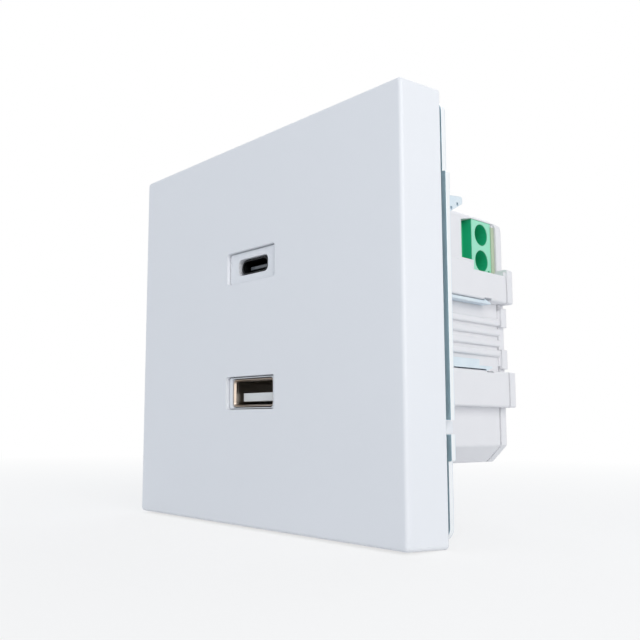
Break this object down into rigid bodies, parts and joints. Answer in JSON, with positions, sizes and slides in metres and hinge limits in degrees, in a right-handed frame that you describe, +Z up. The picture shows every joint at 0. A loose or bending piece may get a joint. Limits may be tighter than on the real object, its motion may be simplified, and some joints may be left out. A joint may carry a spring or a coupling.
{
  "type": "usb wall socket",
  "caption": "Flush wall socket with USB-C and USB-A charging ports: clip-on front plate, steel mounting frame and a deep charger module with screw terminals at its rear side.",
  "frame": {"origin": "midway between the two fixing slots, on the back face of the steel frame (the wall plane)", "axes": "+Y into the wall, +X to the right and +Z up, seen from the room"},
  "size_m": [0.086, 0.059, 0.086],
  "materials": {
    "plate_white": "satin white moulding",
    "module_white": "white moulding",
    "galvanised_steel": "zinc-plated sheet",
    "port_steel": "drawn sheet",
    "port_black": "blackened sheet",
    "tongue_white": "white moulding",
    "tongue_black": "black moulding",
    "contact_gold": "plated",
    "terminal_green": "green moulding",
    "terminal_metal": "plated",
    "screw_steel": "zinc-plated",
    "board_green": "coated laminate",
    "ferrite": "dull black",
    "copper_wire": "enamelled wire",
    "coil_yellow": "taped",
    "aluminium_bare": "satin",
    "moulded_black": "moulded",
    "moulded_grey": "moulded",
    "coated_blue": "dipped coating"
  },
  "bodies": {
    "socket": {"front_plate": "plate_white", "steel_frame": "galvanised_steel", "clip_upper_right": "galvanised_steel", "clip_lower_right": "galvanised_steel", "clip_upper_left": "galvanised_steel", "clip_lower_left": "galvanised_steel", "housing": "module_white", "front_cover": "plate_white", "rear_lid": "module_white", "lid_screws": "screw_steel", "port_board": "board_green", "power_board": "board_green", "riser_board": "board_green", "usb_a_shell": "port_steel", "usb_a_tongue": "tongue_white", "usb_a_contacts": "contact_gold", "usb_c_shell": "port_black", "usb_c_tongue": "tongue_black", "usb_c_contacts": "contact_gold", "terminal_body": "terminal_green", "terminal_bars": "terminal_metal", "transformer_core": "ferrite", "transformer_bobbin": "moulded_black", "transformer_winding": "coil_yellow", "heat_sink": "aluminium_bare", "power_switch": "moulded_black", "line_choke": "copper_wire", "film_capacitor": "coil_yellow", "fuse": "moulded_black", "bridge_rectifier": "moulded_black", "varistor": "coated_blue", "safety_capacitor": "coated_blue", "input_capacitors": "moulded_black", "output_capacitors": "aluminium_bare", "port_inductors": "moulded_grey", "port_controllers": "moulded_black"},
    "upper_screw": {"terminal_screw_upper": "screw_steel"},
    "upper_cage": {"terminal_cage_upper": "terminal_metal"},
    "lower_screw": {"terminal_screw_lower": "screw_steel"},
    "lower_cage": {"terminal_cage_lower": "terminal_metal"}
  },
  "joints": [
    {"name": "upper_screw_turn", "type": "hinge", "parent": "socket", "child": "upper_screw", "pos_m": [0.0171, 0.0313, 0.02467], "axis": [0, 1, 0], "range_deg": [0, 1440]},
    {"name": "upper_cage_lift", "type": "slide", "parent": "socket", "child": "upper_cage", "axis": [0, -1, 0], "range_m": [0, 0.002]},
    {"name": "lower_screw_turn", "type": "hinge", "parent": "socket", "child": "lower_screw", "pos_m": [0.0171, 0.0313, 0.01833], "axis": [0, 1, 0], "range_deg": [0, 1440]},
    {"name": "lower_cage_lift", "type": "slide", "parent": "socket", "child": "lower_cage", "axis": [0, -1, 0], "range_m": [0, 0.002]}
  ],
  "couplings": [
    {"joint": "upper_screw_turn", "follows": "upper_cage_lift", "rad_per_m": 12566},
    {"joint": "lower_screw_turn", "follows": "lower_cage_lift", "rad_per_m": 12566}
  ]
}
